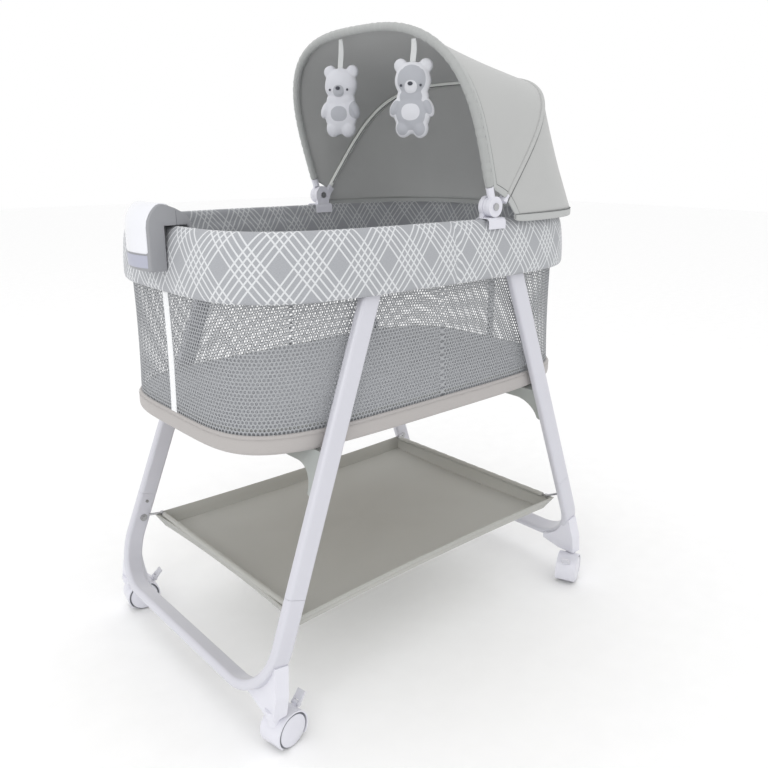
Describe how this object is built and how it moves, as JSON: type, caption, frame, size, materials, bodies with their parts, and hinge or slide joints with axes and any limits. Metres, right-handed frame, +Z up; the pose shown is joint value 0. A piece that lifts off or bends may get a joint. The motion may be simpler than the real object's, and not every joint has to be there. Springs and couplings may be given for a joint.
{
  "type": "bassinet on stand",
  "caption": "Bassinet with mesh sides and a folding canopy on a four-legged stand with casters, a cloth shelf, hanging toys and a vibration unit.",
  "frame": {"origin": "centre of the overall box, on the floor", "axes": "+X towards the head end with the canopy, +Y across, +Z up"},
  "size_m": [0.8244, 0.5746, 1.0631],
  "materials": {
    "frame_white": "satin",
    "plastic_white": "satin",
    "wheel_white": "satin",
    "pedal_grey": "matte",
    "bracket_grey": "satin",
    "steel": "satin",
    "band_fabric": "matte",
    "mesh_fabric": "matte",
    "tape_white": "matte",
    "base_fabric": "matte",
    "board": "matte",
    "mattress_fabric": "matte",
    "shelf_fabric": "matte",
    "unit_grey": "satin",
    "unit_white": "satin",
    "unit_blue": "satin",
    "cell": "satin",
    "circuit": "matte",
    "canopy_fabric": "matte",
    "binding_fabric": "matte",
    "toy_white": "matte",
    "toy_grey": "matte"
  },
  "bodies": {
    "root": {"lower_frame_foot": "frame_white", "lower_frame_head": "frame_white", "upper_leg_foot_front": "frame_white", "upper_leg_foot_back": "frame_white", "upper_leg_head_front": "frame_white", "upper_leg_head_back": "frame_white", "cross_beam_foot": "bracket_grey", "cross_beam_head": "bracket_grey", "frame_screws": "steel", "caster_sockets": "frame_white", "rim_tube_foot": "steel", "rim_tube_head": "steel", "rim_connectors": "bracket_grey", "rim_band": "band_fabric", "mesh_wall": "mesh_fabric", "seam_tapes": "tape_white", "base_band": "base_fabric", "base_tube": "steel", "base_board": "board", "mattress": "mattress_fabric", "shelf_cloth": "shelf_fabric", "shelf_rods": "steel", "unit_case": "unit_grey", "unit_hook": "unit_grey", "unit_fascia": "unit_white", "battery_door": "unit_grey", "battery_cells": "cell", "circuit_board": "circuit", "vibration_motor": "steel", "canopy_clip_front": "plastic_white", "canopy_clip_back": "plastic_white", "hub_pins": "steel", "canopy_hem": "binding_fabric", "canopy_rear_panel": "canopy_fabric"},
    "bow": {"canopy_bow": "plastic_white", "canopy_front_panel": "canopy_fabric"},
    "hoop": {"canopy_hoop": "steel", "hoop_sleeve": "binding_fabric", "hoop_sockets": "plastic_white"},
    "bear_white_body": {"bear_white": "toy_white"},
    "bear_grey_body": {"bear_grey": "toy_grey"},
    "swivel_foot_front": {"caster_hood_foot_front": "plastic_white"},
    "wheels_foot_front": {"caster_wheels_foot_front": "wheel_white"},
    "pedal_foot_front": {"brake_pedal_foot_front": "pedal_grey"},
    "snap_foot_front": {"snap_button_foot_front": "steel"},
    "swivel_foot_back": {"caster_hood_foot_back": "plastic_white"},
    "wheels_foot_back": {"caster_wheels_foot_back": "wheel_white"},
    "pedal_foot_back": {"brake_pedal_foot_back": "pedal_grey"},
    "snap_foot_back": {"snap_button_foot_back": "steel"},
    "swivel_head_front": {"caster_hood_head_front": "plastic_white"},
    "wheels_head_front": {"caster_wheels_head_front": "wheel_white"},
    "pedal_head_front": {"brake_pedal_head_front": "pedal_grey"},
    "snap_head_front": {"snap_button_head_front": "steel"},
    "swivel_head_back": {"caster_hood_head_back": "plastic_white"},
    "wheels_head_back": {"caster_wheels_head_back": "wheel_white"},
    "pedal_head_back": {"brake_pedal_head_back": "pedal_grey"},
    "snap_head_back": {"snap_button_head_back": "steel"},
    "button": {"power_button": "unit_blue"},
    "weight": {"eccentric_weight": "steel"}
  },
  "joints": [
    {"name": "canopy_bow_fold", "type": "hinge", "parent": "root", "child": "bow", "pos_m": [0.0994, 0, 0.7785], "axis": [0, 1, 0], "range_deg": [0, 35], "deforming": ["canopy_rear_panel"]},
    {"name": "canopy_hoop_fold", "type": "hinge", "parent": "bow", "child": "hoop", "pos_m": [0.0994, 0, 0.7785], "axis": [0, 1, 0], "range_deg": [0, 47], "deforming": ["canopy_front_panel"]},
    {"name": "bear_white_swing", "type": "hinge", "parent": "hoop", "child": "bear_white_body", "pos_m": [0.01179, 0.047, 1.046], "axis": [0, 1, 0], "range_deg": [-25, 25]},
    {"name": "bear_grey_swing", "type": "hinge", "parent": "hoop", "child": "bear_grey_body", "pos_m": [0.01179, -0.133, 1.03], "axis": [0, 1, 0], "range_deg": [-25, 25]},
    {"name": "caster_swivel_foot_front", "type": "hinge", "parent": "root", "child": "swivel_foot_front", "pos_m": [-0.3666, -0.249, 0.06], "axis": [0, 0, 1], "continuous": true},
    {"name": "wheel_spin_foot_front", "type": "hinge", "parent": "swivel_foot_front", "child": "wheels_foot_front", "pos_m": [-0.3469, -0.24553, 0.028], "axis": [-0.1736, 0.9848, 0], "continuous": true},
    {"name": "brake_press_foot_front", "type": "hinge", "parent": "swivel_foot_front", "child": "pedal_foot_front", "pos_m": [-0.3207, -0.24091, 0.05195], "axis": [-0.1736, 0.9848, 0], "range_deg": [0, 30]},
    {"name": "snap_press_foot_front", "type": "slide", "parent": "root", "child": "snap_foot_front", "axis": [0, -1, 0], "range_m": [0, 0.003], "stiffness_N_per_m": 800},
    {"name": "caster_swivel_foot_back", "type": "hinge", "parent": "root", "child": "swivel_foot_back", "pos_m": [-0.3666, 0.249, 0.06], "axis": [0, 0, 1], "continuous": true},
    {"name": "wheel_spin_foot_back", "type": "hinge", "parent": "swivel_foot_back", "child": "wheels_foot_back", "pos_m": [-0.3469, 0.24553, 0.028], "axis": [-0.1736, -0.9848, 0], "continuous": true},
    {"name": "brake_press_foot_back", "type": "hinge", "parent": "swivel_foot_back", "child": "pedal_foot_back", "pos_m": [-0.3207, 0.24091, 0.05195], "axis": [0.1736, 0.9848, 0], "range_deg": [0, 30]},
    {"name": "snap_press_foot_back", "type": "slide", "parent": "root", "child": "snap_foot_back", "axis": [0, 1, 0], "range_m": [0, 0.003], "stiffness_N_per_m": 800},
    {"name": "caster_swivel_head_front", "type": "hinge", "parent": "root", "child": "swivel_head_front", "pos_m": [0.3854, -0.249, 0.06], "axis": [0, 0, 1], "continuous": true},
    {"name": "wheel_spin_head_front", "type": "hinge", "parent": "swivel_head_front", "child": "wheels_head_front", "pos_m": [0.36699, -0.25681, 0.028], "axis": [0.3907, -0.9205, 0], "continuous": true},
    {"name": "brake_press_head_front", "type": "hinge", "parent": "swivel_head_front", "child": "pedal_head_front", "pos_m": [0.3425, -0.26721, 0.05195], "axis": [0.3907, -0.9205, 0], "range_deg": [0, 30]},
    {"name": "snap_press_head_front", "type": "slide", "parent": "root", "child": "snap_head_front", "axis": [0, -1, 0], "range_m": [0, 0.003], "stiffness_N_per_m": 800},
    {"name": "caster_swivel_head_back", "type": "hinge", "parent": "root", "child": "swivel_head_back", "pos_m": [0.3854, 0.249, 0.06], "axis": [0, 0, 1], "continuous": true},
    {"name": "wheel_spin_head_back", "type": "hinge", "parent": "swivel_head_back", "child": "wheels_head_back", "pos_m": [0.36699, 0.25681, 0.028], "axis": [0.3907, 0.9205, 0], "continuous": true},
    {"name": "brake_press_head_back", "type": "hinge", "parent": "swivel_head_back", "child": "pedal_head_back", "pos_m": [0.3425, 0.26721, 0.05195], "axis": [-0.3907, -0.9205, 0], "range_deg": [0, 30]},
    {"name": "snap_press_head_back", "type": "slide", "parent": "root", "child": "snap_head_back", "axis": [0, 1, 0], "range_m": [0, 0.003], "stiffness_N_per_m": 800},
    {"name": "power_button_press", "type": "slide", "parent": "root", "child": "button", "axis": [1, 0, 0], "range_m": [0, 0.0015], "stiffness_N_per_m": 600},
    {"name": "weight_spin", "type": "hinge", "parent": "root", "child": "weight", "pos_m": [-0.3876, -0.017, 0.752], "axis": [0, 1, 0], "continuous": true}
  ],
  "couplings": [
    {"joint": "canopy_hoop_fold", "follows": "canopy_bow_fold", "ratio": 1.3424}
  ]
}
